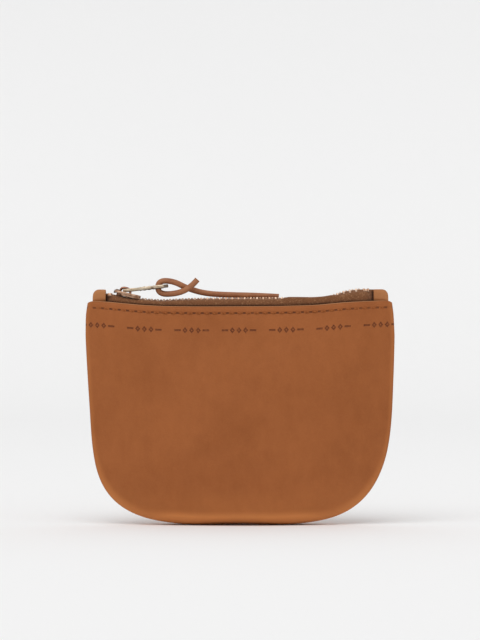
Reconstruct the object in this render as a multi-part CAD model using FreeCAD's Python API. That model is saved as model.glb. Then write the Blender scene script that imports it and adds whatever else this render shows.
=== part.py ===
import FreeCAD, Part
import math
import os

# Zippered leather pouch. Millimetres, +X along the zip, +Y front to back, +Z up.
# The origin is the centre of the flat the pouch rests on.

os.makedirs("parts", exist_ok=True)
V = FreeCAD.Vector

# Leather body
foot_half_x = 26.0          # straight part of the bottom edge, each side
corner_r = 36.0             # bottom corners, seen from the front
side_lean = 1.4             # how far the sides lean out above the corners
widest_z = 76.0
foot_half_y = 6.0           # half depth of the flat it rests on
bottom_r = 5.0              # rounding between the flat and the belly
mouth_half_y = 5.6          # half depth at the top edge
belly_half_y = foot_half_y + bottom_r
seam_half = 1.5             # half thickness at the side seams
wall = 1.3                  # leather
seam_w = 2.5                # leather at the turned seam
edge_mid_z = 89.2           # top edge of the leather, mid and ends
edge_end_z = 91.5
loft_top_z = 94.0
belly_power = 2.2           # how boxy a level section is, low and high
mouth_power = 12.0

# Lining
lining_gap = 0.12
lining_t = 0.45
lining_top_z = 82.5

# Zip chain, on a long arc about an axis high above the pouch
arc_r = 550.0
arc_x = -12.0
chain_z = 91.6              # middle of the chain at the lowest point of the arc
axis_z = chain_z + arc_r
pitch = 2.54                # of the teeth on one tape
tooth_x = 1.15
tooth_half_z = 1.0
tooth_back_y = 2.9
tooth_head_y = 0.9
bead_y = 2.05
bead_r = 0.6
tape_half_t = 0.22
tape_y = 3.04
tape_drop = 8.0
tape_bend = 1.6
tape_half_x = 54.0
slot_gap = 0.1
stop_half_z = 0.9

# Slider, its middle at slider_x when the zip is closed
slider_x = -46.45
slider_half = 5.45
nose_half_y = 4.6
tail_half_y = 3.9
plate_t = 1.0
plate_gap = 1.3             # from the middle of the chain to either plate
low_half_y = 2.45
flange_t = 0.65
flange_drop = 0.8
wedge_x0 = -4.6
wedge_x1 = -1.6
wedge_half_y = 0.8
crown_x0 = -3.6
crown_x1 = 3.4
crown_half_y = 1.1
crown_t = 0.7
crown_clear = 1.35
crown_foot = 0.5

# Puller, pivoting on its bar under the crown
pivot_x = -1.1              # from the middle of the slider
pivot_rise = 0.76           # above the upper plate
bar_r = 0.5
puller_rise = 5.5           # degrees, at rest
puller_half_t = 0.7
ring_in = 5.0
ring_out = 6.2
ring_in_y = 1.4
ring_out_y = 2.5
neck_half_y = 1.0
neck_end = 11.2
eye_x = 14.0
eye_hole_r = 1.6
eye_half_y = 3.1
puller_end = 18.05

# Stops and end tabs
top_stop_x0 = -54.4
top_stop_x1 = -52.3
bottom_stop_x0 = 50.4
bottom_stop_x1 = 52.6
left_tab = (-60.3, -55.0, 96.3)      # x from, x to, top
right_tab = (54.7, 60.7, 96.8)
tab_half_y = 2.6
tab_stem_half_y = 1.05
tab_stem_in = 1.9
tab_foot_z = 84.5
tab_head_z = 91.9
tab_wall = 1.2
tab_round = 1.2

# Thread
stitch_pitch = 3.4
stitch_long = 2.4
stitch_t = 0.5
stitch_below_edge = 2.6
stitch_last_x = 57.8
seam_stitch_r = 0.25
seam_stitch_half = 1.0

# Lace
lace_d = 2.4
lace_points = [
    V(-17.4, -1.7, 100.4),
    V(-20.4, -1.7, 96.9),
    V(-26.0, -0.7, 94.5),
    V(-33.6, 0.0, 94.4),
    V(-33.6, 0.0, 99.9),
    V(-27.4, 0.3, 99.8),
    V(-21.5, 1.5, 97.2),
    V(-14.0, 3.1, 95.2),
    V(-4.0, 4.2, 93.9),
    V(6.5, 4.4, 93.5),
    V(16.0, 4.4, 93.2),
]


def save(shape, name):
    shape.exportStep("parts/" + name + ".step")
    print(name, "solids", len(shape.Solids), "valid", shape.isValid(), "volume", round(shape.Volume, 2))


def box(x0, x1, y0, y1, z0, z1):
    return Part.makeBox(x1 - x0, y1 - y0, z1 - z0, V(x0, y0, z0))


def prism(points, along):
    return Part.Face(Part.makePolygon(points + [points[0]])).extrude(along)


def mirror_y(shape):
    return shape.mirror(V(0, 0, 0), V(0, 1, 0))


def half_width(z, inset):
    if z < corner_r:
        return foot_half_x + math.sqrt((corner_r - inset) ** 2 - (corner_r - z) ** 2)
    lean = 1 - ((z - widest_z) / (widest_z - corner_r)) ** 2
    return foot_half_x + corner_r + side_lean * lean - inset


def half_depth(z, inset):
    if z < bottom_r:
        return foot_half_y + math.sqrt((bottom_r - inset) ** 2 - (bottom_r - z) ** 2)
    s = (z - bottom_r) / (edge_end_z - bottom_r)
    return belly_half_y - (belly_half_y - mouth_half_y) * s * s - inset


def surface_y(x, z, side_inset, depth_inset, end_y):
    w = half_width(z, side_inset)
    blend = max(0.0, (z - 50.0) / (edge_mid_z - 50.0)) ** 2
    power = belly_power + (mouth_power - belly_power) * min(1.0, blend)
    return end_y + (half_depth(z, depth_inset) - end_y) * (1 - abs(x / w) ** power)


def level_wire(z, side_inset, depth_inset, end_y):
    w = half_width(z, side_inset)
    turns = 16
    places = [w * math.sin(math.pi / 2 * (2 * k / turns - 1)) for k in range(turns + 1)]
    front = [V(x, -surface_y(x, z, side_inset, depth_inset, end_y), z) for x in places]
    back = [V(p.x, -p.y, z) for p in reversed(front)]
    edges = []
    for line in (front, back):
        curve = Part.BSplineCurve()
        curve.interpolate(line)
        edges.append(curve.toShape())
    right = Part.makeLine(front[-1], back[0])
    left = Part.makeLine(back[-1], front[0])
    return Part.Wire([edges[0], right, edges[1], left])


def body_solid(levels, side_inset, depth_inset, end_y):
    wires = [level_wire(z, side_inset, depth_inset, end_y) for z in levels]
    return Part.makeLoft(wires, True, False)


outer_levels = [0.0, 0.25, 1.0, 2.4, 4.6, 8.0, 13.0, 20.0, 30.0, 42.0, 55.0, 66.0, 76.0, 84.0, 90.0, loft_top_z]
outer = body_solid(outer_levels, 0.0, 0.0, seam_half)


def inner_levels(start, top):
    rest = [z for z in outer_levels if z > start + 1.0 and z < top - 0.5]
    return [start, start + 0.25, start + 0.8] + rest + [top]


inner = body_solid(inner_levels(seam_w, loft_top_z + 1), seam_w, wall, seam_half - wall)

# The top edge of the leather is one shallow arc
reach = 70.0
far_z = edge_mid_z + (edge_end_z - edge_mid_z) * (reach / 63.0) ** 2
edge_arc = Part.Arc(V(-reach, -reach, far_z), V(0, -reach, edge_mid_z), V(reach, -reach, far_z)).toShape()
below = Part.Wire([
    edge_arc,
    Part.makeLine(V(reach, -reach, far_z), V(reach, -reach, -1)),
    Part.makeLine(V(reach, -reach, -1), V(-reach, -reach, -1)),
    Part.makeLine(V(-reach, -reach, -1), V(-reach, -reach, far_z)),
])
below_edge = Part.Face(below).extrude(V(0, 2 * reach, 0))
leather = outer.cut(inner).common(below_edge)
front_half = box(-reach, reach, -reach, 0, -2, 100)
back_half = box(-reach, reach, 0, reach, -2, 100)
front_panel = leather.common(front_half)
back_panel = leather.common(back_half)
save(front_panel, "front_panel")
save(back_panel, "back_panel")

lining_out = seam_w + lining_gap
lining_in = lining_out + lining_t
bag_outer = body_solid(inner_levels(lining_out, lining_top_z), lining_out, wall + lining_gap, 0.12)
bag_inner = body_solid(
    inner_levels(lining_in, lining_top_z + 1), lining_in, wall + lining_gap + lining_t, 0.06
)
bag = bag_outer.cut(bag_inner)
save(bag.common(front_half), "front_lining")
save(bag.common(back_half), "back_lining")


def edge_z(x):
    return edge_mid_z + (edge_end_z - edge_mid_z) * (x / 63.0) ** 2


# Top stitching, through the leather and the tape behind it
count = int(2 * stitch_last_x / stitch_pitch) + 1
row = []
for k in range(count):
    x = (k - (count - 1) / 2) * stitch_pitch
    z = edge_z(x) - stitch_below_edge
    y = -surface_y(x, z, 0, 0, seam_half)
    ahead = -surface_y(x + 0.2, z, 0, 0, seam_half)
    stitch = box(-stitch_long / 2, stitch_long / 2, -stitch_t / 2, stitch_t / 2, -stitch_t / 2, stitch_t / 2)
    stitch.rotate(V(0, 0, 0), V(0, 0, 1), math.degrees(math.atan2(ahead - y, 0.2)))
    stitch.translate(V(x, y, z))
    row.append(stitch)
front_stitching = Part.makeCompound(row)
save(front_stitching, "front_stitching")
save(mirror_y(front_stitching), "back_stitching")

# Seam thread, inside the turned seam down both sides and along the bottom
mid = seam_w / 2
ring = []
side_n = 14
for k in range(side_n):
    z = corner_r + 3 + k * stitch_pitch
    ring.append((half_width(z, mid), z))
turn_r = corner_r - mid
turn_n = 15
for k in range(turn_n):
    a = math.pi / 2 * k / (turn_n - 1)
    ring.append((foot_half_x + turn_r * math.cos(a), corner_r - turn_r * math.sin(a)))
flat_n = 7
for k in range(flat_n):
    ring.append((foot_half_x - (k + 1) * stitch_pitch, mid))
threads = []
for x, z in ring:
    for side in (-1, 1):
        start = V(side * x, -seam_stitch_half, z)
        threads.append(Part.makeCylinder(seam_stitch_r, 2 * seam_stitch_half, start, V(0, 1, 0)))
save(Part.makeCompound(threads), "seam_thread")


def angle_at(x):
    return math.degrees(math.asin((x - arc_x) / arc_r))


def along(shape, degrees):
    # Turning about -Y carries a piece of the chain towards +X
    moved = shape.copy()
    moved.rotate(V(arc_x, 0, axis_z), V(0, -1, 0), degrees)
    return moved


def swept(face, x0, x1):
    a0 = angle_at(x0)
    return along(face, a0).revolve(V(arc_x, 0, axis_z), V(0, -1, 0), angle_at(x1) - a0)


def strip(half_t, foot_z, extra):
    # Section of the front tape: up behind the leather, then in to the bead
    diag = math.sqrt(0.5)
    reach_r = bead_r + 0.08 - extra
    tip_y = -bead_y - reach_r * diag
    tip_z = chain_z - reach_r * diag
    bend_z = chain_z - tape_bend
    run = math.hypot(tip_y + tape_y, tip_z - bend_z)
    ny = -(tip_z - bend_z) / run * half_t
    nz = (tip_y + tape_y) / run * half_t
    points = [
        V(arc_x, -tape_y - half_t, foot_z),
        V(arc_x, -tape_y - half_t, bend_z),
        V(arc_x, tip_y + ny, tip_z + nz),
        V(arc_x, tip_y - ny, tip_z - nz),
        V(arc_x, -tape_y + half_t, bend_z - half_t / 2),
        V(arc_x, -tape_y + half_t, foot_z),
    ]
    return Part.Face(Part.makePolygon(points + [points[0]]))


def disc(radius):
    circle = Part.Circle(V(arc_x, -bead_y, chain_z), V(1, 0, 0), radius).toShape()
    return Part.Face(Part.Wire([circle]))


front_tape = swept(strip(tape_half_t, chain_z - tape_drop, 0), -tape_half_x, tape_half_x)
front_cord = swept(disc(bead_r), -tape_half_x, tape_half_x)
save(front_tape, "front_tape")
save(mirror_y(front_tape), "back_tape")
save(front_cord, "front_tape_cord")
save(mirror_y(front_cord), "back_tape_cord")


def clamp(length, back_y, head_y, half_z):
    # A metal piece closed over the bead, with a slit for the tape
    block = box(-length / 2, length / 2, -back_y, head_y, chain_z - half_z, chain_z + half_z)
    block.translate(V(arc_x, 0, 0))
    wide = length + 2
    hole = disc(bead_r + slot_gap)
    hole.translate(V(-wide / 2, 0, 0))
    slit = strip(tape_half_t + slot_gap, chain_z - 2 * half_z - tape_bend, 0.2)
    slit.translate(V(-wide / 2, 0, 0))
    return block.cut(hole.extrude(V(wide, 0, 0))).cut(slit.extrude(V(wide, 0, 0)))


def biggest(shape):
    return max(shape.Solids, key=lambda s: s.Volume)


tooth = biggest(clamp(tooth_x, tooth_back_y, tooth_head_y, tooth_half_z))
step = math.degrees(pitch / arc_r)
first = angle_at(slider_x) + 0.05 * step
tooth_n = int((angle_at(bottom_stop_x0 - tooth_x / 2 - 0.1) - first) / step + 0.5)
front_teeth = [along(tooth, first + k * step) for k in range(tooth_n)]
back_teeth = [along(mirror_y(tooth), first + (k + 0.5) * step) for k in range(tooth_n)]
save(Part.makeCompound(front_teeth), "front_teeth")
save(Part.makeCompound(back_teeth), "back_teeth")
print("teeth on each tape", tooth_n)

stop_length = top_stop_x1 - top_stop_x0
stop = biggest(clamp(stop_length, tooth_back_y, -1.0, stop_half_z))
stop = along(stop, angle_at((top_stop_x0 + top_stop_x1) / 2))
save(stop, "front_top_stop")
save(mirror_y(stop), "back_top_stop")
half_stop = biggest(clamp(bottom_stop_x1 - bottom_stop_x0, tooth_back_y, 0, stop_half_z))
whole_stop = half_stop.fuse(mirror_y(half_stop)).removeSplitter()
save(along(whole_stop, angle_at((bottom_stop_x0 + bottom_stop_x1) / 2)), "bottom_stop")


def end_tab(x0, x1, top, outer_side):
    # One strip of leather folded over the zip ends, its fold on top
    head = box(x0, x1, -tab_half_y, tab_half_y, tab_head_z, top)
    long_edges = [e for e in head.Edges if abs(e.BoundBox.ZMin - top) < 0.01 and e.BoundBox.XLength > 1]
    head = head.makeFillet(tab_round, long_edges)
    hollow = box(x0 - 1, x1 + 1, -tab_half_y + tab_wall, tab_half_y - tab_wall, tab_head_z - 1, top - tab_wall)
    head = head.cut(hollow)
    s0 = x0 + (tab_stem_in if outer_side < 0 else 0)
    s1 = x1 - (tab_stem_in if outer_side > 0 else 0)
    stem_out = tab_stem_half_y
    legs = []
    for side in (-1, 1):
        y0 = 0.05 * side
        y1 = stem_out * side
        leg = box(s0, s1, min(y0, y1), max(y0, y1), tab_foot_z, tab_head_z - 0.9)
        shoulder = prism(
            [
                V(s0, y0, tab_head_z - 0.9),
                V(s0, y1, tab_head_z - 0.9),
                V(s0, side * tab_half_y, tab_head_z),
                V(s0, side * (tab_half_y - tab_wall), tab_head_z),
            ],
            V(s1 - s0, 0, 0),
        )
        legs += [leg, shoulder]
    tab = head.fuse(legs).removeSplitter()
    return tab


save(end_tab(left_tab[0], left_tab[1], left_tab[2], -1), "left_end_tab")
save(end_tab(right_tab[0], right_tab[1], right_tab[2], 1), "right_end_tab")


# Slider body: two plates, side flanges on the upper one, and a wedge at the nose
def plate(z0, nose_y, tail_y):
    outline = [
        V(-slider_half, -nose_y * 0.6, z0),
        V(-slider_half + 1.4, -nose_y, z0),
        V(0, -nose_y, z0),
        V(slider_half - 0.8, -tail_y, z0),
        V(slider_half, -tail_y + 0.8, z0),
    ]
    outline += [V(p.x, -p.y, z0) for p in reversed(outline)]
    return prism(outline, V(0, 0, plate_t))


top_z = chain_z + plate_gap
top_plate = plate(top_z, nose_half_y, tail_half_y)
low_plate = plate(chain_z - plate_gap - plate_t, low_half_y, low_half_y)
skirt = plate(top_z, nose_half_y, tail_half_y)
skirt_in = plate(top_z, nose_half_y - flange_t, tail_half_y - flange_t)
skirt_in = skirt_in.fuse(box(-8, 8, -1.8, 1.8, top_z, top_z + plate_t))
skirt = skirt.cut(skirt_in)
skirt.translate(V(0, 0, -flange_drop))
skirt = skirt.common(box(-8, slider_half - 0.8, -8, 8, top_z - flange_drop, top_z))
wedge = prism(
    [
        V(wedge_x0, 0, chain_z - plate_gap),
        V((wedge_x0 + wedge_x1) / 2, wedge_half_y, chain_z - plate_gap),
        V(wedge_x1, 0, chain_z - plate_gap),
        V((wedge_x0 + wedge_x1) / 2, -wedge_half_y, chain_z - plate_gap),
    ],
    V(0, 0, 2 * plate_gap),
)
slider_body = top_plate.fuse([low_plate, skirt, wedge]).removeSplitter()

# The crown is a strap let into two pockets in the upper plate
plate_top = top_z + plate_t
crown_top = plate_top + crown_clear + crown_t
crown = box(crown_x0, crown_x1, -crown_half_y, crown_half_y, plate_top - crown_foot, crown_top)
window = box(
    crown_x0 + crown_t, crown_x1 - crown_t, -4, 4, plate_top - crown_foot - 1, plate_top + crown_clear
)
crown = crown.cut(window)
corners = [
    e for e in crown.Edges
    if abs(e.BoundBox.ZMin - crown_top) < 0.01 and e.BoundBox.YLength > 1
]
crown = crown.makeFillet(0.6, corners)
slider_body = slider_body.cut(crown)
slider_turn = angle_at(slider_x)


def on_slider(shape):
    placed = shape.copy()
    placed.translate(V(arc_x, 0, 0))
    return along(placed, slider_turn)


save(on_slider(slider_body), "slider_body")
save(on_slider(crown), "slider_crown")

# Puller: a bar under the crown, a loop, a neck and an eye for the lace
pivot = on_slider(Part.Vertex(pivot_x, 0, plate_top + pivot_rise)).Point
loop = box(0, ring_out, -ring_out_y, ring_out_y, -puller_half_t, puller_half_t)
loop_edges = [e for e in loop.Edges if e.BoundBox.ZLength > 1 and e.BoundBox.XMin > 1]
loop = loop.makeFillet(1.2, loop_edges)
loop = loop.cut(box(-1, ring_in, -ring_in_y, ring_in_y, -2, 2))
neck = box(ring_out - 0.3, neck_end, -neck_half_y, neck_half_y, -puller_half_t, puller_half_t)
eye = box(neck_end - 0.4, puller_end, -eye_half_y, eye_half_y, -puller_half_t, puller_half_t)
eye_edges = [e for e in eye.Edges if e.BoundBox.ZLength > 1]
eye = eye.makeFillet(2.2, eye_edges)
eye = eye.cut(Part.makeCylinder(eye_hole_r, 4, V(eye_x, 0, -2)))
bar = Part.makeCylinder(bar_r, 2 * ring_out_y, V(0, -ring_out_y, 0), V(0, 1, 0))
ears = []
for side in (-1, 1):
    y0 = ring_in_y if side > 0 else -ring_out_y
    ears.append(Part.makeCylinder(puller_half_t, ring_out_y - ring_in_y, V(0, y0, 0), V(0, 1, 0)))
puller = loop.fuse([neck, eye, bar] + ears).removeSplitter()
puller.rotate(V(0, 0, 0), V(0, -1, 0), puller_rise)
puller.translate(pivot)
save(puller, "puller")
print("puller pivot", [round(c, 3) for c in pivot], "slider turn", round(slider_turn, 4))
print("zip axis x", arc_x, "z", axis_z)
last_x = bottom_stop_x0 - 0.2 - slider_half
print("slider travel, degrees", round(angle_at(last_x) - slider_turn, 3))


# Lace: straight runs joined by arcs that are tangent to them
def cord_path(points):
    edges = []
    start = points[0]
    radii = []
    for a, b, c in zip(points, points[1:], points[2:]):
        back = (a - b).normalize()
        ahead = (c - b).normalize()
        turn = math.pi - back.getAngle(ahead)
        shorter = min((b - a).Length, (c - b).Length)
        cut = 0.45 * shorter
        radius = cut / math.tan(turn / 2)
        radii.append(round(radius, 2))
        p = b + back * cut
        q = b + ahead * cut
        bisector = (back + ahead).normalize()
        centre = b + bisector * math.hypot(cut, radius)
        middle = centre - bisector * radius
        edges.append(Part.makeLine(start, p))
        edges.append(Part.Arc(p, middle, q).toShape())
        start = q
    edges.append(Part.makeLine(start, points[-1]))
    return Part.Wire(edges), radii


path, radii = cord_path(lace_points)
section = Part.Circle(lace_points[0], lace_points[1] - lace_points[0], lace_d / 2).toShape()
lace = path.makePipeShell([Part.Wire([section])], True, False)
save(lace, "lace")
print("lace radii", radii)
print("lace length", round(path.Length, 2), "volume over section by length",
      round(lace.Volume / (math.pi * lace_d ** 2 / 4 * path.Length), 4))
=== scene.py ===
import math
import random

import bmesh
import bpy
import numpy as np
from mathutils import Matrix, Vector, noise


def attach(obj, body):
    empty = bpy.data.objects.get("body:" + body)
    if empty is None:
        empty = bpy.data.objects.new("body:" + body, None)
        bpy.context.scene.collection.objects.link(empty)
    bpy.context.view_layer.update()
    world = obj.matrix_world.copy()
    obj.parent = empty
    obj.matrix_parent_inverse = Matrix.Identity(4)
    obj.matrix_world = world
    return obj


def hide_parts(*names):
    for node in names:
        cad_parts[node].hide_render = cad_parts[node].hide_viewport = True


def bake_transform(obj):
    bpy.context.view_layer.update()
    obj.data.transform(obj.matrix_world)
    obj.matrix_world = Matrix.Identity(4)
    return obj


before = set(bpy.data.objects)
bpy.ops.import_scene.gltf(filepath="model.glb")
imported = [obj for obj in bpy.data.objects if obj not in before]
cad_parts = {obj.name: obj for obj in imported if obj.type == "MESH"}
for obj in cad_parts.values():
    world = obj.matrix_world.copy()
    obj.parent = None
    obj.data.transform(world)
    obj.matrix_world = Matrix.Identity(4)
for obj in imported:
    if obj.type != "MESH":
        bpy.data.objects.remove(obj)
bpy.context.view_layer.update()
scene = bpy.context.scene
MM = 0.001                      # lengths below are millimetres unless they say otherwise
rng = random.Random(11)

# ---------------------------------------------------------------- dimensions

SIDE_X = 63.3                   # half the width at its widest
SIDE_Z = 78.0                   # the level of the widest place
CORNER_X = 55.5                 # how far in and how far up the big lower corners reach
CORNER_Z = 52.0
CORNER_POWER = 3.6
SAG = 1.2                       # the bottom edge climbs this much before it turns into the corners
ARCH = 0.45                     # and this much in its middle, between the two places it stands on
ARCH_X = 22.0
TAPER = 0.017                   # the sides draw in by this times a power of the distance from SIDE_Z
TAPER_POWER = 1.276
SHOULDER = 0.5                  # and by this much more at the very top
EDGE_DROP = 1.3                 # the ends of the top edge are rounded down by this much
EDGE_CORNER = 60.4              # from here
EDGE_REACH = 2.6                # over this length
FADE = 3.0                      # the bottom's shape dies away upwards over this height
FOOT = 1.0                      # the sole climbs this much from the seam out to the panels
FOOT_Y = 6.0
RIM_R = 1.15                    # radius of each panel's rolled edge
RIM_GAP = 0.12                  # half the groove between the two rolled edges
RIM_Y = RIM_GAP + 2 * RIM_R
WALL = 1.3
SEAM_W = 2.5
TOP = 91.0                      # level that follows the top edge
STITCH_PITCH = 3.4
STITCH_COUNT = 35
STITCH_V = 2.6
MARK_V = 9.6
MARK_PITCH = 19.3
PITCH = 2.54
ARC_X = -12.0
ARC_R = 550.0
ARC_Z = 91.6 + ARC_R
ZIP_END = 57.6
BEAD_END = 2.6                  # the edge cords stop this far short of the tapes
SLIDER_X = -46.45
CHAIN_SLOPE = 3.6               # degrees that the closed zip slopes at the slider
SLIDER_LEAN = 9.4               # degrees that the slider leans more than that
TOOTH_COUNT = 38
BEAD_Y = 2.05
LACE_D = 2.4
EYE_X = 14.0                    # the puller's eye, from its bar
VIEW_DISTANCE = 1.2             # metres
VIEW_Z = 0.0838                 # metres
VIEW_HEIGHT = 0.2624            # metres that the picture takes in at the pouch


def smooth_line(points):
    """A smooth function of x through the given points."""
    xs = np.array([p[0] for p in points], float)
    ys = np.array([p[1] for p in points], float)
    slopes = np.gradient(ys, xs)

    def value(x):
        x = np.clip(np.asarray(x, float), xs[0], xs[-1])
        i = np.clip(np.searchsorted(xs, x) - 1, 0, len(xs) - 2)
        h = xs[i + 1] - xs[i]
        t = (x - xs[i]) / h
        a = (1 + 2 * t) * (1 - t) ** 2 * ys[i] + t * (1 - t) ** 2 * h * slopes[i]
        return a + t * t * (3 - 2 * t) * ys[i + 1] + t * t * (t - 1) * h * slopes[i + 1]

    return value


# Top edge of the leather, and the middle of the zip chain
edge_line = smooth_line([
    (-64, 91.5), (-57, 91.2), (-50, 90.6), (-41, 89.8), (-33, 89.4), (-16, 89.15), (0, 89.2),
    (20, 89.4), (33, 89.9), (43, 90.8), (50, 91.2), (57, 91.5), (64, 91.7),
])
chain_z = smooth_line([
    (-60, 94.2), (-54, 94.1), (-50, 93.4), (-46, 92.65), (-41, 92.0), (-33, 91.35), (-24, 91.7), (-16, 91.95),
    (0, 92.1), (16, 92.2), (24, 92.2), (31, 92.2), (36, 92.75), (39, 93.6), (43, 94.85), (47.5, 95.65),
    (54, 95.8), (60, 95.8),
])


def smoothstep(a, b, x):
    t = np.clip((np.asarray(x, float) - a) / (b - a), 0, 1)
    return t * t * (3 - 2 * t)


def edge_z(x):
    """The top edge, with its corners rounded off."""
    return edge_line(x) - EDGE_DROP * np.clip((np.abs(x) - EDGE_CORNER) / EDGE_REACH, 0, 1) ** 2


def half_width(z):
    """Half the width of the outline, without its lean."""
    z = np.asarray(z, float)
    t = np.clip((CORNER_Z - z) / CORNER_Z, 0, 1)
    corner = CORNER_X * (1 - (1 - t ** CORNER_POWER) ** (1 / CORNER_POWER))
    taper = TAPER * np.abs(SIDE_Z - z) ** TAPER_POWER
    return SIDE_X - corner - taper - SHOULDER * smoothstep(84, 91.6, z) ** 2


# The real outline isn't quite symmetric: its lowest third leans to the left, the rest slightly to the right
lean_x = smooth_line([
    (0, -0.5), (8, -0.85), (16, -0.68), (30, 0.05), (43, 0.38), (60, 0.25), (76, 0.05), (88, -0.1), (96, 0),
])


def fade_up(level):
    """How much of the bottom's shape is left at a level."""
    return np.exp(-np.asarray(level, float) / FADE)


def bottom_line(u, x):
    """The lowest edge, from x and its share u of the half width: an arch between two feet, then up."""
    return SAG * (1.17 * u ** 4 - 0.17) + ARCH * np.maximum(0, 1 - (x / ARCH_X) ** 2) ** 2


def row_width(level):
    """Half the width of the row of points that starts at a level in the middle."""
    return half_width(level + SAG * fade_up(level))


def half_depth(z):
    """Half the depth: round at the bottom, fullest just above it, then thinner up to the zip."""
    z = np.asarray(z, float)
    low = 6 + np.sqrt(np.maximum(0, 25 - (5 - np.minimum(z, 5)) ** 2))
    return np.where(z < 5, low, 11 - 5.4 * ((z - 5) / 86.5) ** 2)


def level_power(z):
    """How boxy the pouch is at a level, seen from above."""
    return 2.2 + 9.8 * np.clip((np.asarray(z, float) - 50) / 39.2, 0, 1) ** 2


def surface_y(x, z):
    """How far the outside of a panel stands from the middle plane."""
    w = row_width(z) - RIM_R
    u = np.clip(np.abs(np.asarray(x, float)) / w, 0, 1)
    return RIM_Y + (half_depth(z) - RIM_Y) * (1 - u ** level_power(z))


# ---------------------------------------------------------------- mesh helpers

def link(name, mesh, material):
    obj = bpy.data.objects.new(name, mesh)
    scene.collection.objects.link(obj)
    if material is not None:
        mesh.materials.append(material)
    return obj


def make(name, points, faces, material, uvs=None, marks=None):
    mesh = bpy.data.meshes.new(name)
    mesh.from_pydata((np.asarray(points, float) * MM).tolist(), [], faces)
    bm = bmesh.new()
    bm.from_mesh(mesh)
    bmesh.ops.recalc_face_normals(bm, faces=bm.faces)
    bm.to_mesh(mesh)
    bm.free()
    for key, values in (marks or {}).items():
        layer = mesh.attributes.new(key, "FLOAT", "POINT")
        layer.data.foreach_set("value", np.asarray(values, np.float32))
    if uvs is not None:
        layer = mesh.uv_layers.new(name="UVMap")
        corner = np.empty(len(mesh.loops), np.int32)
        mesh.loops.foreach_get("vertex_index", corner)
        layer.data.foreach_set("uv", np.asarray(uvs, np.float32)[corner].ravel())
    mesh.polygons.foreach_set("use_smooth", np.full(len(mesh.polygons), True))
    mesh.update()
    return link(name, mesh, material)


def grid_faces(rows, cols, start=0, around=False):
    faces = []
    last = cols if around else cols - 1
    for j in range(rows - 1):
        for i in range(last):
            a = start + j * cols + i
            b = start + j * cols + (i + 1) % cols
            faces.append((a, b, b + cols, a + cols))
    return faces


def tube(sections):
    """Points and faces of a closed skin over rings of points, capped at both ends."""
    n = len(sections[0])
    points = [p for ring in sections for p in ring]
    faces = grid_faces(len(sections), n, around=True)
    faces.append(tuple(reversed(range(n))))
    faces.append(tuple(range(len(points) - n, len(points))))
    return points, faces


def join(parts):
    points = []
    faces = []
    for p, f in parts:
        base = len(points)
        points += [tuple(q) for q in p]
        faces += [tuple(base + i for i in g) for g in f]
    return points, faces


def ring(a, b, n=16, power=2.0):
    """A rounded outline, a by b in half sizes. Higher powers are boxier."""
    out = []
    for k in range(n):
        t = 2 * math.pi * (k + 0.5) / n
        c = math.cos(t)
        s = math.sin(t)
        out.append((math.copysign(abs(c) ** (2 / power), c) * a, math.copysign(abs(s) ** (2 / power), s) * b))
    return out


def sweep(path, a, b, side=(0, 1, 0), n=16, power=4.0, scale=None):
    """Carries a rounded outline along a path. a is its half size along side, b across it."""
    rings = []
    side = Vector(side).normalized()
    count = len(path)
    for k, p in enumerate(path):
        before = Vector(path[max(0, k - 1)])
        after = Vector(path[min(count - 1, k + 1)])
        ahead = (after - before).normalized()
        across = ahead.cross(side).normalized()
        wide = across.cross(ahead).normalized()
        grow = scale(k / (count - 1)) if scale else 1.0
        rings.append([
            tuple(Vector(p) + wide * (u * grow) + across * (v * grow)) for u, v in ring(a, b, n, power)
        ])
    return tube(rings)


def thick_sheet(name, outer, inner, material, uvs=None, open_ends=(), more=None):
    """A closed sheet between two grids of points, with its cut edges marked."""
    rows, cols = outer.shape[:2]
    count = rows * cols
    points = np.concatenate([outer.reshape(-1, 3), inner.reshape(-1, 3)])
    faces = grid_faces(rows, cols) + grid_faces(rows, cols, start=count)
    edges = []
    if "left" not in open_ends:
        edges.append([j * cols for j in range(rows)])
    if "right" not in open_ends:
        edges.append([j * cols + cols - 1 for j in range(rows)])
    edges.append(list(range(cols)))
    edges.append(list(range((rows - 1) * cols, count)))
    extra = []
    source = list(range(2 * count))
    marks = [0.0] * (2 * count)
    next_point = 2 * count
    skins = uvs is not None
    uv = list(map(tuple, uvs)) + list(map(tuple, uvs)) if skins else None
    for edge in edges:
        # The rim gets its own points, so that it shades as a cut edge
        for side in (0, count):
            for i in edge:
                extra.append(points[i + side])
                source.append(i + side)
                marks.append(1.0)
                if skins:
                    uv.append(uv[i])
        n = len(edge)
        for k in range(n - 1):
            a = next_point + k
            faces.append((a, a + 1, a + 1 + n, a + n))
        next_point += 2 * n
    points = np.concatenate([points, np.array(extra)])
    marked = {"cut": marks}
    for key, values in (more or {}).items():
        marked[key] = np.asarray(values)[source]
    return make(name, points, faces, material, uvs=uv, marks=marked)


# ---------------------------------------------------------------- materials

def srgb(r, g, b):
    out = []
    for c in (r, g, b):
        c = c / 255
        out.append(c / 12.92 if c <= 0.04045 else ((c + 0.055) / 1.055) ** 2.4)
    return (out[0], out[1], out[2], 1.0)


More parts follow.
